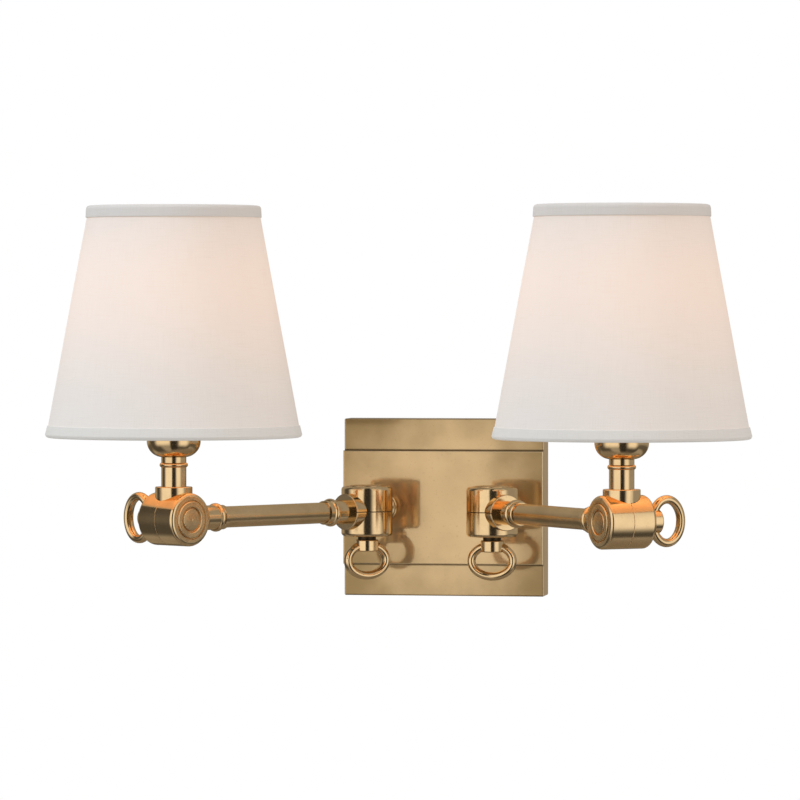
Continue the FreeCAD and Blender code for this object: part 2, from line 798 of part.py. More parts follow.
# ---- write what no other object is made of
used = set()
for item in doc.Objects:
    if item.TypeId in ("Part::Compound", "Part::MultiFuse", "Part::Cut", "Part::Sweep"):
        used.update(child.Name for child in item.OutList)
for item in doc.Objects:
    if "Invalid" in item.State or "Error" in item.State:
        raise RuntimeError(f"{item.Label} has failed")

os.makedirs("parts", exist_ok=True)
subParts = [item for item in doc.Objects
            if item.Name not in used and item.getParentGeoFeatureGroup() is None
            and hasattr(item, "Shape") and item.TypeId != "Spreadsheet::Sheet"]
for item in subParts:
    if item.Shape.isNull() or not item.Shape.isValid():
        raise RuntimeError(f"{item.Label} has no valid shape")
    item.Shape.exportStep(f"parts/{item.Label}.step")
print(len(subParts), "sub-parts written")
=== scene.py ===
import json
import math

import bpy
import numpy as np
from mathutils import Matrix, Vector


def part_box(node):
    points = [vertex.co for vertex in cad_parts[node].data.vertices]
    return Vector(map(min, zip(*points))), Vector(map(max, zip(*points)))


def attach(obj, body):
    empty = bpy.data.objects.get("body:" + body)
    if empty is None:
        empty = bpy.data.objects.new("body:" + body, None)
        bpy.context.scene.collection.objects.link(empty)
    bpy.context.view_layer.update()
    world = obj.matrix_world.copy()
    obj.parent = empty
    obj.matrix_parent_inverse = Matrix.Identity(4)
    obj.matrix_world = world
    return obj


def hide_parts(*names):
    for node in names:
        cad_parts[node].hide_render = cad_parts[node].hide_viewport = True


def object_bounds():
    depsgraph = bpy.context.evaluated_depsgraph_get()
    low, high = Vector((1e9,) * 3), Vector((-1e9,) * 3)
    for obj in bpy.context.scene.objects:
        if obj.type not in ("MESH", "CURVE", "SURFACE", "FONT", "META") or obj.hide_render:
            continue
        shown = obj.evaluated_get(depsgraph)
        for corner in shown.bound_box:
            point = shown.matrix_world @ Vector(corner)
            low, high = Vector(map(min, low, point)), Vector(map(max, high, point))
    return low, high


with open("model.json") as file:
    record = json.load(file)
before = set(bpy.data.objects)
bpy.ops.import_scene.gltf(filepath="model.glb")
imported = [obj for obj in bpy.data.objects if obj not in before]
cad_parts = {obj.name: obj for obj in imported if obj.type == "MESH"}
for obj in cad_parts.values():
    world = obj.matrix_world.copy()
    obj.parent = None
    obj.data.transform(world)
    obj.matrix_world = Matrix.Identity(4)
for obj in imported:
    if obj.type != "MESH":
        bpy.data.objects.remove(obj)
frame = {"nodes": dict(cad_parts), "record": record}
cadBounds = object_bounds()
nodes = frame["nodes"]
joints = {joint["name"]: joint for joint in frame["record"]["behaviour"]["joints"]}
sides = ("left", "right")
bpy.context.scene.view_settings.view_transform = "Standard"


# Shader maths: a Wire is a socket, and arithmetic on it adds nodes.
class Wire:
    def __init__(self, graph, socket):
        self.graph = graph
        self.socket = socket

    def math(self, operation, *others):
        inputs = dict(enumerate((self, *others)))
        return self.graph.node("ShaderNodeMath", {"operation": operation}, inputs)

    def __add__(self, other):
        return self.math("ADD", other)

    def __sub__(self, other):
        return self.math("SUBTRACT", other)

    def __rsub__(self, other):
        return self.graph.node("ShaderNodeMath", {"operation": "SUBTRACT"}, {0: other, 1: self})

    def __mul__(self, other):
        return self.math("MULTIPLY", other)

    __radd__ = __add__
    __rmul__ = __mul__

    def sine(self):
        return self.math("SINE")

    def absolute(self):
        return self.math("ABSOLUTE")

    def step(self, low, high):          # 0 below low, 1 above high, smooth between them
        settings = {"interpolation_type": "SMOOTHSTEP"}
        inputs = {"Value": self, "From Min": low, "From Max": high}
        return self.graph.node("ShaderNodeMapRange", settings, inputs)

    def between(self, low, high, edge):  # 1 from low to high, with soft edges
        rise = self.step(low - edge / 2, low + edge / 2)
        fall = self.step(high - edge / 2, high + edge / 2)
        return rise * (1 - fall)


class Graph:
    def __init__(self, tree):
        self.tree = tree
        tree.nodes.clear()

    def node(self, kind, settings=None, inputs=None, output=0):
        made = self.tree.nodes.new(kind)
        for name, value in (settings or {}).items():
            setattr(made, name, value)
        for name, value in (inputs or {}).items():
            if isinstance(value, Wire):
                self.tree.links.new(value.socket, made.inputs[name])
            else:
                made.inputs[name].default_value = value
        return Wire(self, made.outputs[output])

    def place(self):                    # the point on the piece, in metres
        return self.node("ShaderNodeTexCoord", output="Object")

    def along(self, start, axis):       # how far the point is from start, along an axis
        away = self.node("ShaderNodeVectorMath", {"operation": "SUBTRACT"},
                         {0: self.place(), 1: start})
        dot = self.node("ShaderNodeVectorMath", {"operation": "DOT_PRODUCT"}, {0: away, 1: axis})
        return Wire(self, dot.socket.node.outputs["Value"])

    def cloth(self):                    # the point on the cloth's own map, in metres
        return self.node("ShaderNodeUVMap", {"uv_map": "cloth"})

    def parts(self, vector):            # its x, y and z
        split = self.node("ShaderNodeSeparateXYZ", {}, {0: vector}).socket.node
        return [Wire(self, socket) for socket in split.outputs]

    def stretch(self, vector, scale):
        return self.node("ShaderNodeMapping", {}, {"Vector": vector, "Scale": scale})

    def noise(self, vector, size, detail=2.0):
        inputs = {"Vector": vector, "Scale": 1 / size, "Detail": detail}
        return self.node("ShaderNodeTexNoise", {}, inputs)

    def colours(self, factor, first, second):       # 6 and 7 are the node's two colours
        first, second = (c if isinstance(c, Wire) else (*c, 1) for c in (first, second))
        made = self.node("ShaderNodeMix", {"data_type": "RGBA"}, {0: factor, 6: first, 7: second})
        return Wire(self, made.socket.node.outputs[2])

    def bump(self, height, depth):
        return self.node("ShaderNodeBump", {}, {"Height": height, "Distance": depth})

    def finish(self, shader, kind="ShaderNodeOutputMaterial"):
        out = self.tree.nodes.new(kind)
        self.tree.links.new(shader.socket, out.inputs[0])


def newMaterial(name):
    material = bpy.data.materials.new(name)
    material.use_nodes = True
    return material, Graph(material.node_tree)


# The photo's camera: metres, degrees, and a lens in millimetres.
cameraLook = {
    "target": (-0.02481, -0.10213, 0.08929),
    "distance": 4.0,
    "turn": 8.86,           # degrees to the viewer's right
    "height": 1.10,         # degrees above the level
    "lens": 223.74,
    "near": 0.1,            # nothing nearer than this is shown
}


def makeCamera():
    turn = math.radians(cameraLook["turn"])
    height = math.radians(cameraLook["height"])
    right = Vector((math.cos(turn), math.sin(turn), 0))
    back = Vector((math.sin(turn) * math.cos(height), -math.cos(turn) * math.cos(height),
                   math.sin(height)))
    up = back.cross(right)
    data = bpy.data.cameras.new("camera")
    data.lens = cameraLook["lens"]
    data.clip_start = cameraLook["near"]
    camera = bpy.data.objects.new("camera", data)
    place = Matrix((right, up, back)).transposed().to_4x4()
    place.translation = Vector(cameraLook["target"]) + back * cameraLook["distance"]
    camera.matrix_world = place
    bpy.context.scene.collection.objects.link(camera)
    bpy.context.scene.camera = camera


makeCamera()


# The studio has lamps for the cloth and the floor, and soft boxes for the metal to show.
lamps = {
    "keyLamp": {"heading": -48, "height": 32, "distance": 2.2, "size": 1.5, "power": 21,
                "colour": (0.91, 0.99, 1.07)},
    "fillLamp": {"heading": 58, "height": 18, "distance": 2.2, "size": 1.5, "power": 12,
                 "colour": (1.09, 0.93, 0.84)},
    "topLamp": {"heading": 10, "height": 80, "distance": 2.0, "size": 1.8, "power": 8,
                "colour": (1.0, 1.0, 1.0)},
}
studio = {                  # brightness that metal shows, by heading from straight ahead
    "evenLight": 0.42,      # what cloth and floor get from all round
    "room": 0.36,           # where there is no panel
    "panels": (             # in degrees: heading from, to, edge, height from, to, edge; brightness
        (33, 92, 7, -80, -20, 24, 0.07),
        (-113, -50, 24, -75, 75, 20, 0.08),
        (-72, 4, 28, -22, 50, 30, 1.06),
        (-5, 34, 8, -75, 75, 20, 0.03),
        (34, 75, 24, -28, 46, 34, 1.06),
        (84, 180, 20, -30, -9, 10, 0.12),
        (-180, -108, 20, -30, -9, 10, 0.12),
    ),
}
floorLook = {
    "drop": 0.45,           # below the object
    "reach": 0.8,           # half the floor's width
    "lines": 33,            # of its grid, each way
    "fade": (0.45, 0.98),   # from solid to clear, in shares of the reach
    "colour": (0.90, 0.90, 0.90),
    "shown": (0.30, 0.28, 0.26),        # the colour that metal shows
}


def makeLamps():
    middle = Vector(cameraLook["target"])
    for name, look in lamps.items():
        heading = math.radians(look["heading"])
        height = math.radians(look["height"])
        data = bpy.data.lights.new(name, "AREA")
        data.shape = "DISK"
        data.size = look["size"]
        data.energy = look["power"]
        data.color = look["colour"]
        lamp = bpy.data.objects.new(name, data)
        away = Vector((math.sin(heading) * math.cos(height),
                       -math.cos(heading) * math.cos(height), math.sin(height)))
        lamp.location = middle + away * look["distance"]
        lamp.rotation_euler = away.to_track_quat("Z", "Y").to_euler()
        lamp.visible_glossy = False
        bpy.context.scene.collection.objects.link(lamp)


def makeWorld():
    world = bpy.data.worlds.new("studio")
    world.use_nodes = True
    bpy.context.scene.world = world
    graph = Graph(world.node_tree)
    direction = graph.node("ShaderNodeTexCoord", output="Generated")
    x, y, z = graph.parts(direction)
    degrees = 180 / math.pi
    heading = x.math("ARCTAN2", y * -1) * degrees
    height = z.math("ARCSINE") * degrees
    shown = studio["room"]
    for left, right, edge, low, high, heightEdge, brightness in studio["panels"]:
        mask = heading.between(left, right, edge) * height.between(low, high, heightEdge)
        shown = shown + mask * (brightness - shown)
    rays = graph.node("ShaderNodeLightPath").socket.node.outputs
    seen, through, glossy = (Wire(graph, rays[kind]) for kind in (
        "Is Camera Ray", "Is Transmission Ray", "Is Glossy Ray"))
    seen = seen.math("MAXIMUM", through)
    strength = seen + (1 - seen) * (glossy * shown + (1 - glossy) * studio["evenLight"])
    graph.finish(graph.node("ShaderNodeBackground", {}, {
        "Color": (1, 1, 1, 1), "Strength": strength}), "ShaderNodeOutputWorld")


def makeFloor():
    reach = floorLook["reach"]
    level = cadBounds[0].z - floorLook["drop"]
    lines = np.linspace(-reach, reach, floorLook["lines"])
    y, x = np.meshgrid(lines, lines, indexing="ij")
    floor = gridPiece("floor", np.stack([x, y, np.full(x.shape, level)], -1), wraps=(False, False))
    material, graph = newMaterial("paleFloor")
    x, y, _ = graph.parts(graph.place())
    away = (x * x + y * y).math("SQRT")
    rays = graph.node("ShaderNodeLightPath").socket.node.outputs
    tone = graph.colours(Wire(graph, rays["Is Glossy Ray"]), floorLook["colour"],
                         floorLook["shown"])
    paint = graph.node("ShaderNodeBsdfDiffuse", {}, {"Color": tone})
    clear = graph.node("ShaderNodeBsdfTransparent")
    graph.finish(graph.node("ShaderNodeMixShader", {}, {
        0: away.step(*(reach * share for share in floorLook["fade"])), 1: paint, 2: clear}))
    floor.data.materials.append(material)


# A piece from a grid of points (rows, columns, 3). Where a direction wraps, its last line joins
# its first. Faces turn anticlockwise seen from outside: rows go up and columns go left to right.
# The map gives each column line and each row line its distance along the cloth, in metres.
def gridPiece(name, points, wraps=(True, True), clothMap=None):
    rows, columns = points.shape[:2]
    upper = (np.arange(rows if wraps[0] else rows - 1) + 1) % rows
    after = (np.arange(columns if wraps[1] else columns - 1) + 1) % columns
    low, left = np.meshgrid(np.arange(len(upper)), np.arange(len(after)), indexing="ij")
    high, right = np.meshgrid(upper, after, indexing="ij")
    faces = np.stack([low * columns + left, low * columns + right,
                      high * columns + right, high * columns + left], -1).reshape(-1, 4)
    mesh = bpy.data.meshes.new(name)
    mesh.from_pydata(points.reshape(-1, 3), [], faces)
    mesh.shade_smooth()
    if clothMap is not None:
        along, across = clothMap
        across = np.stack([across[low], across[low], across[low + 1], across[low + 1]], -1)
        along = np.stack([along[left], along[left + 1], along[left + 1], along[left]], -1)
        mesh.uv_layers.new(name="cloth").uv.foreach_set(
            "vector", np.stack([along, across], -1).astype(np.float32).ravel())
    piece = bpy.data.objects.new(name, mesh)
    bpy.context.scene.collection.objects.link(piece)
    return piece


# The corners of a closed outline, rounded: near each corner C it follows the curve
# (1-t)^2 A + 2t(1-t) C + t^2 B, where A and B lie on the two edges, the rounding away from C.
def roundedOutline(corners, rounding, steps=5):
    corners = np.array(corners)
    edges = [np.roll(corners, shift, axis=0) - corners for shift in (1, -1)]
    first, last = (corners + edge * rounding / np.linalg.norm(edge, axis=1, keepdims=True)
                   for edge in edges)
    t = np.linspace(0, 1, steps)[None, :, None]
    curve = ((1 - t) ** 2 * first[:, None] + 2 * t * (1 - t) * corners[:, None]
             + t ** 2 * last[:, None])
    return curve.reshape(-1, 2)


# A closed outline of (radius, height) turned about an upright axis, with rows at most rowStep
# apart. The radius swells by wobble * (sin(3 turn + 0.7) sin(height / 0.03) +
# 0.6 sin(7 turn + height / 0.02)).
def turnedPiece(name, axis, outline, columns, rowStep, wobble=0.0):
    closed = np.vstack([outline, outline[:1]])
    path = np.append(0, np.cumsum(np.linalg.norm(np.diff(closed, axis=0), axis=1)))
    places = np.concatenate([path[:-1], np.arange(0, path[-1], rowStep)])
    across = np.append(np.unique(np.round(places, 6)), path[-1])
    radius = np.interp(across[:-1], path, closed[:, 0])[:, None]
    height = np.interp(across[:-1], path, closed[:, 1])[:, None]
    turn = np.linspace(0, 2 * np.pi, columns, endpoint=False)[None, :]
    radius = radius + wobble * (np.sin(3 * turn + 0.7) * np.sin(height / 0.03)
                                + 0.6 * np.sin(7 * turn + height / 0.02))
    points = np.stack([axis[0] + radius * np.cos(turn), axis[1] + radius * np.sin(turn),
                       height + 0 * turn], -1)
    along = np.linspace(0, 2 * np.pi * closed[:, 0].mean(), columns + 1)
    return gridPiece(name, points, clothMap=(along, across))


makeWorld()
makeLamps()
makeFloor()
print("studio is up")


# The darkest tone is for real joint lines and for painted shade in recesses; the dull one is for
# tarnish and for painted reflection; the palest is a painted highlight.
brassTones = {"bright": (0.86, 0.61, 0.325), "aged": (0.66, 0.46, 0.24),
              "tarnishAndReflection": (0.40, 0.27, 0.12), "crevice": (0.060, 0.042, 0.022),
              "paintedHighlight": (1.0, 0.82, 0.54)}
# Roughness, size of the clouds, how aged, depth of the grain in thousandths of a millimetre,
# and how much of the shine is satin.
brassLooks = {
    "plateBrass": {"roughness": 0.075, "cloud": 0.030, "age": 0.35, "grain": 1.0, "satin": 0.5},
    "polishedBrass": {"roughness": 0.13, "cloud": 0.015, "age": 0.45, "grain": 0.5, "satin": 0.02},
    "tubeBrass": {"roughness": 0.20, "cloud": 0.03, "age": 0.6, "grain": 1.0, "satin": 0.1},
    "capBrass": {"roughness": 0.24, "cloud": 0.012, "age": 1.0, "grain": 0.5, "satin": 0.1},
}
brassWear = {               # the same for all the looks
    "satinRoughness": 0.42,
    "grazingTint": (1.0, 0.86, 0.66, 1),    # of the shine at a grazing angle
    "agedFrom": 0.35, "agedTo": 0.72,       # where the clouds turn from bright to aged
    "speckSize": 0.0016, "speckFrom": 0.60, "speckTo": 0.78, "speckDullness": 0.30,
    "grainStretch": (60, 60, 1400),         # lines per metre: the grain lies level
    "cloudRoughness": 0.05, "speckRoughness": 0.04,     # how far clouds and specks vary it
    "satinVaries": 0.1,                     # how far the clouds vary the satin's
    "darkJointAndShadeRoughness": 0.3, "edgeRoughness": 0.4,      # what these masks add
}
brassNodes = {
    "tubeBrass": ("left_arm_tube", "right_arm_tube"),
    "capBrass": ("left_arm_barrel_cap", "right_arm_barrel_cap", "left_knuckle_cap",
                 "right_knuckle_cap"),
}
# The plate's face: darker away from its middle, partly age and partly painted reflection, with a
# painted shadow line beside the panel and a painted highlight round the panel's face.
plateAgeAndPaintedLight = {                # on the plate's face, darker away from its middle
    "middle": 0.006,                    # of the bright oval, to the right
    "across": 0.083, "up": 0.098,       # half sizes of the oval
    "from": 0.35, "to": 1.25,           # where the darkness starts and is full, in half sizes
    "cloud": 0.028, "uneven": 0.6,      # size of its clouds, and how far they shift the oval
    "sideFrom": 0.0012, "sideTo": 0.0004,       # from the pan's sides, where the darkness ends
    # Painted shadow: a dark line on the pan beside the panel.
    "shadow": 0.0019,                   # height of the dark crevice beside the panel
    "shadowDarkness": 0.85,
    # Painted reflection: the panel is darker on its upper right and lower left.
    "lean": 0.28,                       # darker on the panel's upper right and lower left
    "leanReach": 0.002,                 # x times z where the lean is full, in square metres
    # Painted highlight: a bright line round the panel's face.
    "highlightWidth": 0.0008,               # width of the bright line round the panel's face
    "highlightBrightness": 0.7,
}
keyNeckEnd = 0.0232         # of a clamping key's neck, from the middle of its barrel
seamWidth = 0.0007          # of the line where a barrel's halves meet
seamFade = (0.35, 0.65)     # from full to nothing, in shares of the width away from its middle
seamStrength = 0.8
softly = 0.0002             # metres over which a mask's border is blurred


# Masks, each a function of the graph or None. The first is dark: real joint lines and painted
# shade in recesses. The second is dull: age and painted reflection. The edge is only rougher,
# and the last is a painted highlight.
def makeBrass(name, look, crevice=None, rimAgeAndReflection=None, edge=None, paintedHighlight=None):
    material, graph = newMaterial(name)
    place = graph.place()
    cloud = graph.noise(place, look["cloud"], 3)
    speck = graph.noise(place, brassWear["speckSize"], 3)
    grain = graph.noise(graph.stretch(place, brassWear["grainStretch"]), 1, 2)
    worn = cloud.step(brassWear["agedFrom"], brassWear["agedTo"]) * look["age"]
    tone = graph.colours(worn, brassTones["bright"], brassTones["aged"])
    specks = speck.step(brassWear["speckFrom"], brassWear["speckTo"]) * brassWear["speckDullness"]
    tone = graph.colours(specks, tone, brassTones["tarnishAndReflection"])
    rough = (look["roughness"] + (cloud - 0.5) * brassWear["cloudRoughness"]
             + (speck - 0.5) * brassWear["speckRoughness"])
    if rimAgeAndReflection:
        tone = graph.colours(rimAgeAndReflection(graph), tone, brassTones["tarnishAndReflection"])
    if crevice:
        dark = crevice(graph)
        tone = graph.colours(dark, tone, brassTones["crevice"])
        rough = rough + dark * brassWear["darkJointAndShadeRoughness"]
    if edge:
        rough = rough + edge(graph) * brassWear["edgeRoughness"]
    if paintedHighlight:
        tone = graph.colours(paintedHighlight(graph), tone, brassTones["paintedHighlight"])
    normal = graph.bump(grain, look["grain"] * 1e-6)
    satin = brassWear["satinRoughness"] + (cloud - 0.5) * brassWear["satinVaries"]
    shines = [graph.node("ShaderNodeBsdfPrincipled", {}, {
        "Base Color": tone, "Metallic": 1.0, "Roughness": roughness, "Normal": normal,
        "Specular Tint": brassWear["grazingTint"]}) for roughness in (rough, satin)]
    graph.finish(graph.node("ShaderNodeMixShader", {}, {
        0: look["satin"], 1: shines[0], 2: shines[1]}))
    return material


def dress(node, material):
    for slot in nodes[node].material_slots:
        slot.material = material


# Darker towards the plate's corners: partly age, partly painted reflection; the lean is a painted
# dark reflection.
def plateRimAgeAndReflection(graph):        # from 0 in the middle of the plate's face to 1 at its corners
    x, _, z = graph.parts(graph.place())
    cloud = graph.noise(graph.place(), plateAgeAndPaintedLight["cloud"], 3)
    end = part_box("back_pan")[1].x
    across = (x - plateAgeAndPaintedLight["middle"]) * (1 / plateAgeAndPaintedLight["across"])
    up = z * (1 / plateAgeAndPaintedLight["up"])
    onPanel = 1 - (z.absolute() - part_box("centre_panel")[1].z).step(-softly, softly)
    tilted = (x * z).step(-plateAgeAndPaintedLight["leanReach"], plateAgeAndPaintedLight["leanReach"]) - 0.5
    lean = tilted * onPanel * plateAgeAndPaintedLight["lean"]
    away = (across * across + up * up).math("SQRT") + (cloud - 0.5) * plateAgeAndPaintedLight["uneven"] + lean
    onFace = 1 - x.absolute().step(end - plateAgeAndPaintedLight["sideFrom"], end - plateAgeAndPaintedLight["sideTo"])
    return away.step(plateAgeAndPaintedLight["from"], plateAgeAndPaintedLight["to"]) * onFace


# Painted shadow: a dark line on the pan just above and below the panel.
def plateShadowLine(graph):    # 1 on the pan, just above and below the panel
    _, y, z = graph.parts(graph.place())
    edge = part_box("centre_panel")[1].z
    away = z.absolute() - edge
    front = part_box("back_pan")[0].y + 1.5 * softly
    near = away.step(-softly, softly / 2) * (1 - away.step(softly, plateAgeAndPaintedLight["shadow"]))
    return near * (1 - y.step(front, front + 2 * softly)) * plateAgeAndPaintedLight["shadowDarkness"]


# Painted highlight: a bright line round the panel's face.
def panelHighlight(graph):       # a thin line round the panel's face
    x, y, z = graph.parts(graph.place())
    low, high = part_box("centre_panel")
    inside = (high.x - x.absolute()).math("MINIMUM", high.z - z.absolute())
    onFront = 1 - y.step(low.y + softly, low.y + 3 * softly)
    width = plateAgeAndPaintedLight["highlightWidth"]
    return (1 - inside.step(width / 2, width)) * onFront * plateAgeAndPaintedLight["highlightBrightness"]


# Painted shade: the neck between a clamping key and its barrel is made dark.
def keyNeckShade(joint):      # 1 on the neck between the key and its barrel
    def mask(graph):
        reach = graph.along(joint["pos_m"], joint["axis"])
        return 1 - reach.step(keyNeckEnd - softly, keyNeckEnd)
    return mask


def seamMask(joint):        # a thin line round a barrel, where its halves meet
    def mask(graph):
        reach = graph.along(joint["pos_m"], joint["axis"]).absolute()
        return (1 - reach.step(*(seamWidth * share for share in seamFade))) * seamStrength
    return mask


def dressBrass():
    made = {name: makeBrass(name, look) for name, look in brassLooks.items()
            if name != "plateBrass"}
    for node, piece in nodes.items():
        if piece.material_slots[0].name in ("arm_brass", "plate_brass"):
            named = [look for look, members in brassNodes.items() if node in members]
            dress(node, made[named[0] if named else "polishedBrass"])
    # The plate's brass has a painted shadow line, painted reflection and a painted highlight.
    plate = makeBrass("platePatinaAndPaintedLight", brassLooks["plateBrass"], plateShadowLine, plateRimAgeAndReflection,
                      paintedHighlight=panelHighlight)
    for node in ("back_pan", "centre_panel"):
        dress(node, plate)
    for side in sides:
        for kind in ("wall_key", "knuckle_key"):
            name = f"{side}_{kind}"
            dress(name, makeBrass(f"{name}Brass", brassLooks["polishedBrass"],
                                  keyNeckShade(joints[f"{name}_turn"])))
        for motion, kind, halves in (("arm_swing", "crevice", ("wall_barrel", "arm_barrel")),
                                     ("lamp_tilt", "edge", ("knuckle_rear", "knuckle_front"))):
            name = f"{side}_{motion}"
            mask = {kind: seamMask(joints[name])}
            barrel = makeBrass(f"{name}Brass", brassLooks["polishedBrass"], **mask)
            for half in halves:
                dress(f"{side}_{half}", barrel)


dressBrass()
print("brass is dressed")


# The other solid finishes, by the record's material slot: two tones, the size of their clouds,
# the depth of the grain, the roughness and how metallic they are.
plainLooks = {
    "steel": {"tones": ((0.62, 0.62, 0.60), (0.44, 0.44, 0.45)), "cloud": 0.004,
              "grain": 6e-6, "roughness": 0.34, "metallic": 1.0},
    "earth_green": {"tones": ((0.07, 0.30, 0.12), (0.03, 0.17, 0.07)), "cloud": 0.0015,
                    "grain": 5e-6, "roughness": 0.35, "metallic": 0.7},
    "friction_fibre": {"tones": ((0.16, 0.11, 0.08), (0.06, 0.045, 0.035)), "cloud": 0.0012,
                       "grain": 4e-5, "roughness": 0.85, "metallic": 0.0},
    "socket_black": {"tones": ((0.030, 0.028, 0.027), (0.016, 0.015, 0.015)), "cloud": 0.006,
                     "grain": 8e-6, "roughness": 0.38, "metallic": 0.0},
    "shade_wire": {"tones": ((0.80, 0.77, 0.72), (0.66, 0.62, 0.56)), "cloud": 0.005,
                   "grain": 1e-5, "roughness": 0.45, "metallic": 0.0},
    "bulb_metal": {"tones": ((0.78, 0.76, 0.72), (0.55, 0.53, 0.50)), "cloud": 0.003,
                   "grain": 6e-6, "roughness": 0.28, "metallic": 1.0},
}
plainWear = {               # the same for all of them
    "from": 0.38, "to": 0.66,       # where the clouds turn from the first tone to the second
    "grainsPerCloud": 12,
    "roughnessVaries": 0.12,
}
bulbLook = {"tone": (0.92, 0.88, 0.80), "glow": (1.0, 0.62, 0.30), "power": 1.3,
            "frost": 0.0012, "frostDepth": 2e-5, "roughness": 0.35, "roughnessVaries": 0.2}


def dressPlain():
    made = {}
    for slot, look in plainLooks.items():
        material, graph = newMaterial(slot)
        cloud = graph.noise(graph.place(), look["cloud"], 3)
        grain = graph.noise(graph.place(), look["cloud"] / plainWear["grainsPerCloud"], 2)
        second = cloud.step(plainWear["from"], plainWear["to"])
        graph.finish(graph.node("ShaderNodeBsdfPrincipled", {}, {
            "Base Color": graph.colours(second, *look["tones"]),
            "Metallic": look["metallic"],
            "Roughness": look["roughness"] + (cloud - 0.5) * plainWear["roughnessVaries"],
            "Normal": graph.bump(grain, look["grain"])}))
        made[slot] = material
    glass, graph = newMaterial("frostedBulb")
    frost = graph.noise(graph.place(), bulbLook["frost"], 3)
    graph.finish(graph.node("ShaderNodeBsdfPrincipled", {}, {
        "Base Color": (*bulbLook["tone"], 1),
        "Roughness": bulbLook["roughness"] + (frost - 0.5) * bulbLook["roughnessVaries"],
        "Emission Color": (*bulbLook["glow"], 1), "Emission Strength": bulbLook["power"],
        "Normal": graph.bump(frost, bulbLook["frostDepth"])}))
    made["bulb_glass"] = glass
    for node, piece in nodes.items():
        slot = piece.material_slots[0].name
        if slot in made:
            dress(node, made[slot])


dressPlain()
print("solid finishes are dressed")


# The cloth of the shades, in metres.
shadeLook = {
    "cloth": 0.0010,        # thickness
    "round": 0.3,           # rounding of its edges, in thicknesses
    "wobble": 0.00010,      # how far the stiffened cloth is from a true cone
    "columns": 240,
    "rowStep": 0.004,
    "thread": 0.00062,      # from one thread to the next
    "weaveDepth": 2.2e-5,
    "colour": (0.685, 0.663, 0.655),
    "threadTone": (0.60, 0.575, 0.56),
    "roughness": 0.92,
    "shine": 0.15,
    "glowLow": (0.20, 0.165, 0.125),
    "glowTop": (0.17, 0.125, 0.08),
    "glowTopFrom": -0.01, "glowTopTo": 0.05,    # above the brightest part
    "glowBulb": (0.145, 0.055, 0.008),  # what the brightest part adds to glowLow
    "glowRise": 0.035,      # of the brightest part above the bulb's middle
    "glowReach": 0.110,     # below the brightest part; above it, this over the next value
    "glowFall": 1.22,
    "glowInside": (0.71, 0.31, 0.098),
    "glowInsideEnds": 0.55, # the share of it that is left away from the bulb
    "insideFrom": 0.4, "insideTo": 0.8,         # past the top edge, in thicknesses
}
weaveLook = {               # of the cloth and of the hems
    "slub": (45, 1500),     # thick threads per metre, along and across them
    "slubFrom": 0.45, "slubTo": 0.75,
    "cloud": 0.03,
    "slubTone": 0.30, "cloudTone": 0.25, "crossingTone": 0.05,  # how much of the thread's tone
    "crossingHeight": 0.5,  # beside a slub's height of 1
}
hemLook = {
    "proud": 0.0008,
    "height": 0.0093,
    "inside": 0.0070,       # height of the fold on the inside
    "wire": 0.0026,         # thickness of the wire inside the band
    "wrap": 0.0006,         # of the fold against the cloth and against the wire
    "tuck": 0.0010,         # of the fold where it leaves the wire
    "wireFrom": 0.0009, "wireTo": 0.0030, "tuckAt": 0.0045,     # from the band's end
    "round": 0.0024,        # rounding of the band's outer edge
    "flat": 0.3,            # how blunt that rounding is
    "draw": 0.0004,         # how far the top band is drawn in above its foot
    "fold": 0.00035,        # rounding of the other edges
    "wobble": 0.00005,
    "rowStep": 0.003,
    "weaveDepth": 2.86e-5,
    "roughness": 0.9,
    "colour": (0.63, 0.615, 0.605),
    "threadTone": (0.54, 0.525, 0.505),
    "glows": {"LowHem": (0.160, 0.150, 0.122), "HighHem": (0.108, 0.088, 0.062)},
}


def shadeSizes(side):
    low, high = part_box(f"{side}_shade")
    footLow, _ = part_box(f"{side}_shade_bottom_hem")
    _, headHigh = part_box(f"{side}_shade_top_hem")
    wireLow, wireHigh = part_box(f"{side}_shade_top_wire")
    axis = ((low.x + high.x) / 2, (low.y + high.y) / 2)
    lowRadius = (high.x - low.x) / 2
    highRadius = (wireHigh.x - wireLow.x) / 2 + shadeLook["cloth"]
    bulbLow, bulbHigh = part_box(f"{side}_bulb_glass")
    bulbMiddle = bulbHigh.z - (bulbHigh.x - bulbLow.x) / 2
    return {"axis": axis, "low": low.z, "high": high.z, "foot": footLow.z, "head": headHigh.z,
            "lowRadius": lowRadius, "highRadius": highRadius, "bulb": bulbMiddle}


def weave(graph, look, depth):
    cloth = graph.cloth()
    u, v, _ = graph.parts(cloth)
    turns = 2 * math.pi / shadeLook["thread"]
    crossing = (u * turns).sine() * (v * turns).sine()
    along, across = weaveLook["slub"]
    slubAcross = graph.noise(graph.stretch(cloth, (along, across, 1)), 1, 3)
    slubUp = graph.noise(graph.stretch(cloth, (across, along, 1)), 1, 3)
    cloud = graph.noise(cloth, weaveLook["cloud"], 2)
    slubRange = weaveLook["slubFrom"], weaveLook["slubTo"]
    slubs = slubAcross.step(*slubRange) + slubUp.step(*slubRange)
    second = (slubs * weaveLook["slubTone"] + (cloud - 0.5) * weaveLook["cloudTone"]
              + crossing * weaveLook["crossingTone"])
    tone = graph.colours(second, look["colour"], look["threadTone"])
    return tone, graph.bump(crossing * weaveLook["crossingHeight"] + slubs, depth)


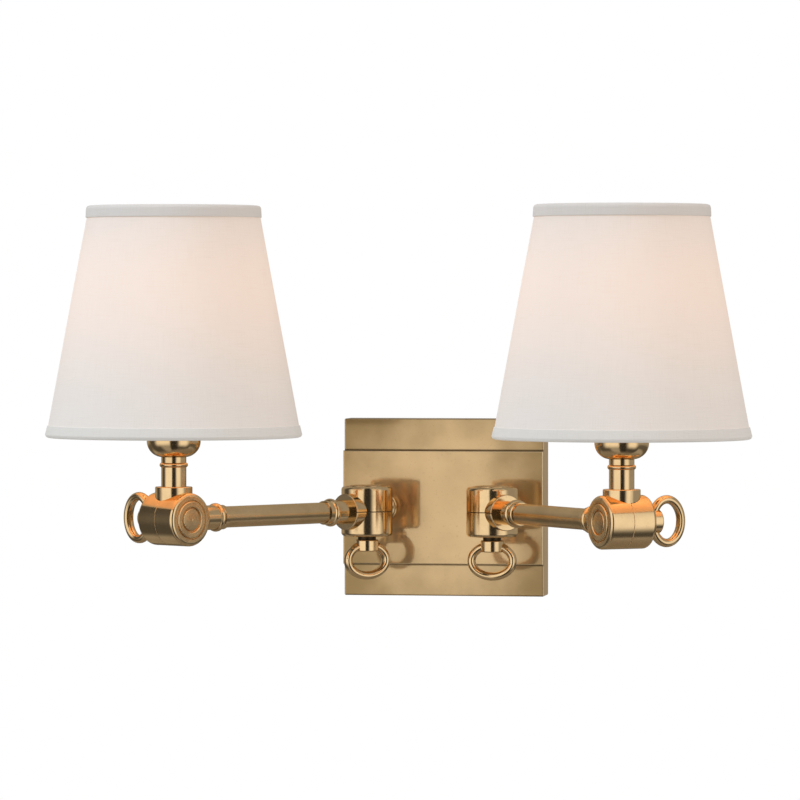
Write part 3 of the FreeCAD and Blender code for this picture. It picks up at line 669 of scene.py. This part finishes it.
def makeCloth(name, sizes):
    material, graph = newMaterial(name)
    tone, normal = weave(graph, shadeLook, shadeLook["weaveDepth"])
    _, _, z = graph.parts(graph.place())
    _, v, _ = graph.parts(graph.cloth())
    wall = math.hypot(sizes["high"] - sizes["low"], sizes["lowRadius"] - sizes["highRadius"])
    inside = v.step(wall + shadeLook["cloth"] * shadeLook["insideFrom"],
                    wall + shadeLook["cloth"] * shadeLook["insideTo"])
    brightest = sizes["bulb"] + shadeLook["glowRise"]
    rise = z - brightest
    away = (rise * shadeLook["glowFall"]).math("MAXIMUM", rise * -1)
    near = away.step(shadeLook["glowReach"], 0.0)
    plain = graph.colours(rise.step(shadeLook["glowTopFrom"], shadeLook["glowTopTo"]),
                          shadeLook["glowLow"], shadeLook["glowTop"])
    bright = tuple(a + b for a, b in zip(shadeLook["glowLow"], shadeLook["glowBulb"]))
    outer = graph.colours(near, plain, bright)
    faint = tuple(shadeLook["glowInsideEnds"] * part for part in shadeLook["glowInside"])
    inner = graph.colours(near, faint, shadeLook["glowInside"])
    graph.finish(graph.node("ShaderNodeBsdfPrincipled", {}, {
        "Base Color": tone, "Roughness": shadeLook["roughness"], "Normal": normal,
        "Specular IOR Level": shadeLook["shine"],
        "Emission Color": graph.colours(inside, outer, inner), "Emission Strength": 1.0}))
    return material


def makeHemCloth(name, glow):
    material, graph = newMaterial(name)
    tone, normal = weave(graph, hemLook, hemLook["weaveDepth"])
    graph.finish(graph.node("ShaderNodeBsdfPrincipled", {}, {
        "Base Color": tone, "Roughness": hemLook["roughness"], "Normal": normal,
        "Specular IOR Level": shadeLook["shine"],
        "Emission Color": (*glow, 1), "Emission Strength": 1.0}))
    return material


# The cloth is a cone with a thickness. Each hem is a band folded over the cloth's edge and its
# wire: proud of the cloth outside, and round the wire inside.
def makeShade(side, hemCloths):
    sizes = shadeSizes(side)
    cloth = shadeLook["cloth"]
    low, high = sizes["low"], sizes["high"]
    lowRadius, highRadius = sizes["lowRadius"], sizes["highRadius"]
    wall = roundedOutline([(lowRadius, low), (highRadius, high), (highRadius - cloth, high),
                           (lowRadius - cloth, low)], cloth * shadeLook["round"])
    shade = turnedPiece(f"{side}ShadeCloth", sizes["axis"], wall, shadeLook["columns"],
                        shadeLook["rowStep"], shadeLook["wobble"])
    shade.data.materials.append(makeCloth(f"{side}Cloth", sizes))
    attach(shade, f"{side}_lamp")
    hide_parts(f"{side}_shade")

    taper = (lowRadius - highRadius) / (high - low)
    wrap, tuck, tuckAt = hemLook["wrap"], hemLook["tuck"], hemLook["tuckAt"]
    wireFrom, wireTo = hemLook["wireFrom"], hemLook["wireTo"]
    height, inside = hemLook["height"], hemLook["inside"]
    edge, blunt, draw = hemLook["round"], hemLook["round"] * hemLook["flat"], hemLook["draw"]
    foot, head = sizes["foot"], sizes["head"]
    widest, behind = lowRadius + hemLook["proud"], lowRadius - cloth - hemLook["wire"] - wrap
    lowHem = [(widest - edge, foot), (widest - blunt, foot + blunt), (widest, foot + edge),
              (widest - taper * height, foot + height),
              (lowRadius - cloth / 2 - taper * height, foot + height),
              (lowRadius - cloth - wrap - taper * inside, foot + inside),
              (lowRadius - cloth - tuck - taper * tuckAt, foot + tuckAt),
              (behind, foot + wireTo), (behind, foot + wireFrom), (behind + tuck, foot)]
    widest = highRadius + hemLook["proud"] + taper * height
    behind = highRadius - cloth - hemLook["wire"] - wrap
    highHem = [(highRadius - cloth / 2 + taper * height, head - height), (widest, head - height),
               (widest - draw, head - edge), (widest - draw - blunt, head - blunt),
               (widest - draw - edge, head), (behind + tuck, head), (behind, head - wireFrom),
               (behind, head - wireTo), (highRadius - cloth - tuck + taper * tuckAt, head - tuckAt),
               (highRadius - cloth - wrap + taper * inside, head - inside)]
    for name, outline, node in (("LowHem", lowHem, "shade_bottom_hem"),
                                ("HighHem", highHem, "shade_top_hem")):
        hem = turnedPiece(f"{side}{name}", sizes["axis"], roundedOutline(outline, hemLook["fold"]),
                          shadeLook["columns"], hemLook["rowStep"], hemLook["wobble"])
        hem.data.materials.append(hemCloths[name])
        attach(hem, f"{side}_lamp")
        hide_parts(f"{side}_{node}")


hemCloths = {name: makeHemCloth(name, glow) for name, glow in hemLook["glows"].items()}
for side in sides:
    makeShade(side, hemCloths)
print("shades are up")
